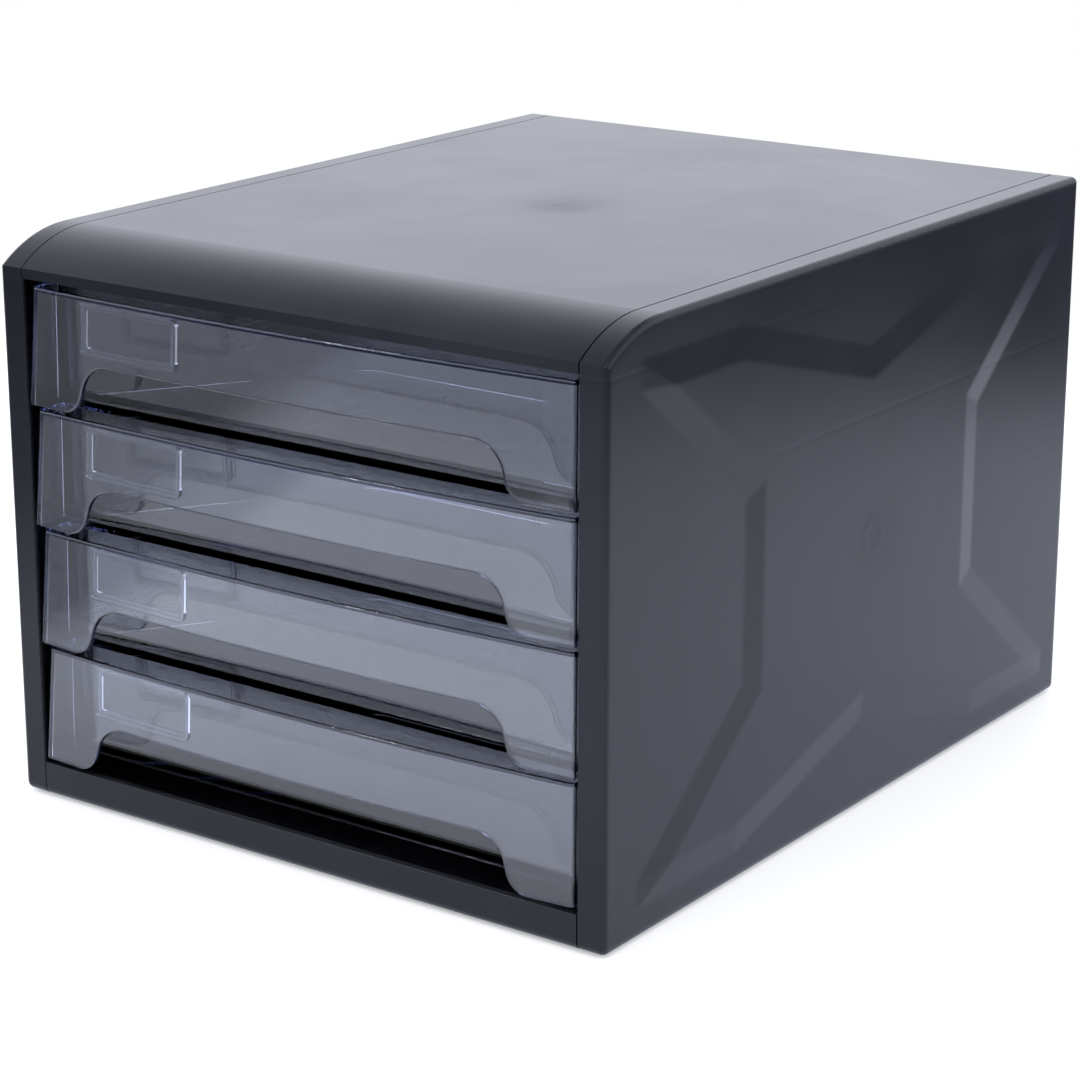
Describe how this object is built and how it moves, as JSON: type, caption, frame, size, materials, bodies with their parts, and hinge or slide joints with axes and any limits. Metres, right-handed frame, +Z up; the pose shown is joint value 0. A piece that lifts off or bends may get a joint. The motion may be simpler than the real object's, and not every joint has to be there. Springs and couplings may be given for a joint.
{
  "type": "letter tray stack with drawers",
  "caption": "Desktop letter tray cabinet in dark plastic with curved top front, star relief on the sides and clear sliding drawers with arched finger cutouts.",
  "frame": {"origin": "centre of the bottom of the object's box, drawers closed, on the surface that the feet stand on", "axes": "+X to the right seen from the front, drawers open along -Y, +Z up"},
  "size_m": [0.2724, 0.3385, 0.2184],
  "materials": {
    "black_plastic": "satin-gloss injection-moulded, blue-black",
    "clear_plastic": "clear, polished, faint blue tint",
    "clear_label_plastic": "clear, polished",
    "foot_rubber": "matt"
  },
  "bodies": {
    "cabinet": {"left_side_panel": "black_plastic", "right_side_panel": "black_plastic", "top_cover": "black_plastic", "base_panel": "black_plastic", "back_panel": "black_plastic", "foot_front_left": "foot_rubber", "foot_front_right": "foot_rubber", "foot_rear_left": "foot_rubber", "foot_rear_right": "foot_rubber"},
    "drawer_unit_1": {"drawer_1": "clear_plastic", "label_pocket_1": "clear_label_plastic"},
    "drawer_unit_2": {"drawer_2": "clear_plastic", "label_pocket_2": "clear_label_plastic"},
    "drawer_unit_3": {"drawer_3": "clear_plastic", "label_pocket_3": "clear_label_plastic"},
    "drawer_unit_4": {"drawer_4": "clear_plastic", "label_pocket_4": "clear_label_plastic"}
  },
  "joints": [
    {"name": "drawer_1_slide", "type": "slide", "parent": "cabinet", "child": "drawer_unit_1", "axis": [0, -1, 0], "range_m": [0, 0.255]},
    {"name": "drawer_2_slide", "type": "slide", "parent": "cabinet", "child": "drawer_unit_2", "axis": [0, -1, 0], "range_m": [0, 0.255]},
    {"name": "drawer_3_slide", "type": "slide", "parent": "cabinet", "child": "drawer_unit_3", "axis": [0, -1, 0], "range_m": [0, 0.255]},
    {"name": "drawer_4_slide", "type": "slide", "parent": "cabinet", "child": "drawer_unit_4", "axis": [0, -1, 0], "range_m": [0, 0.255]}
  ]
}
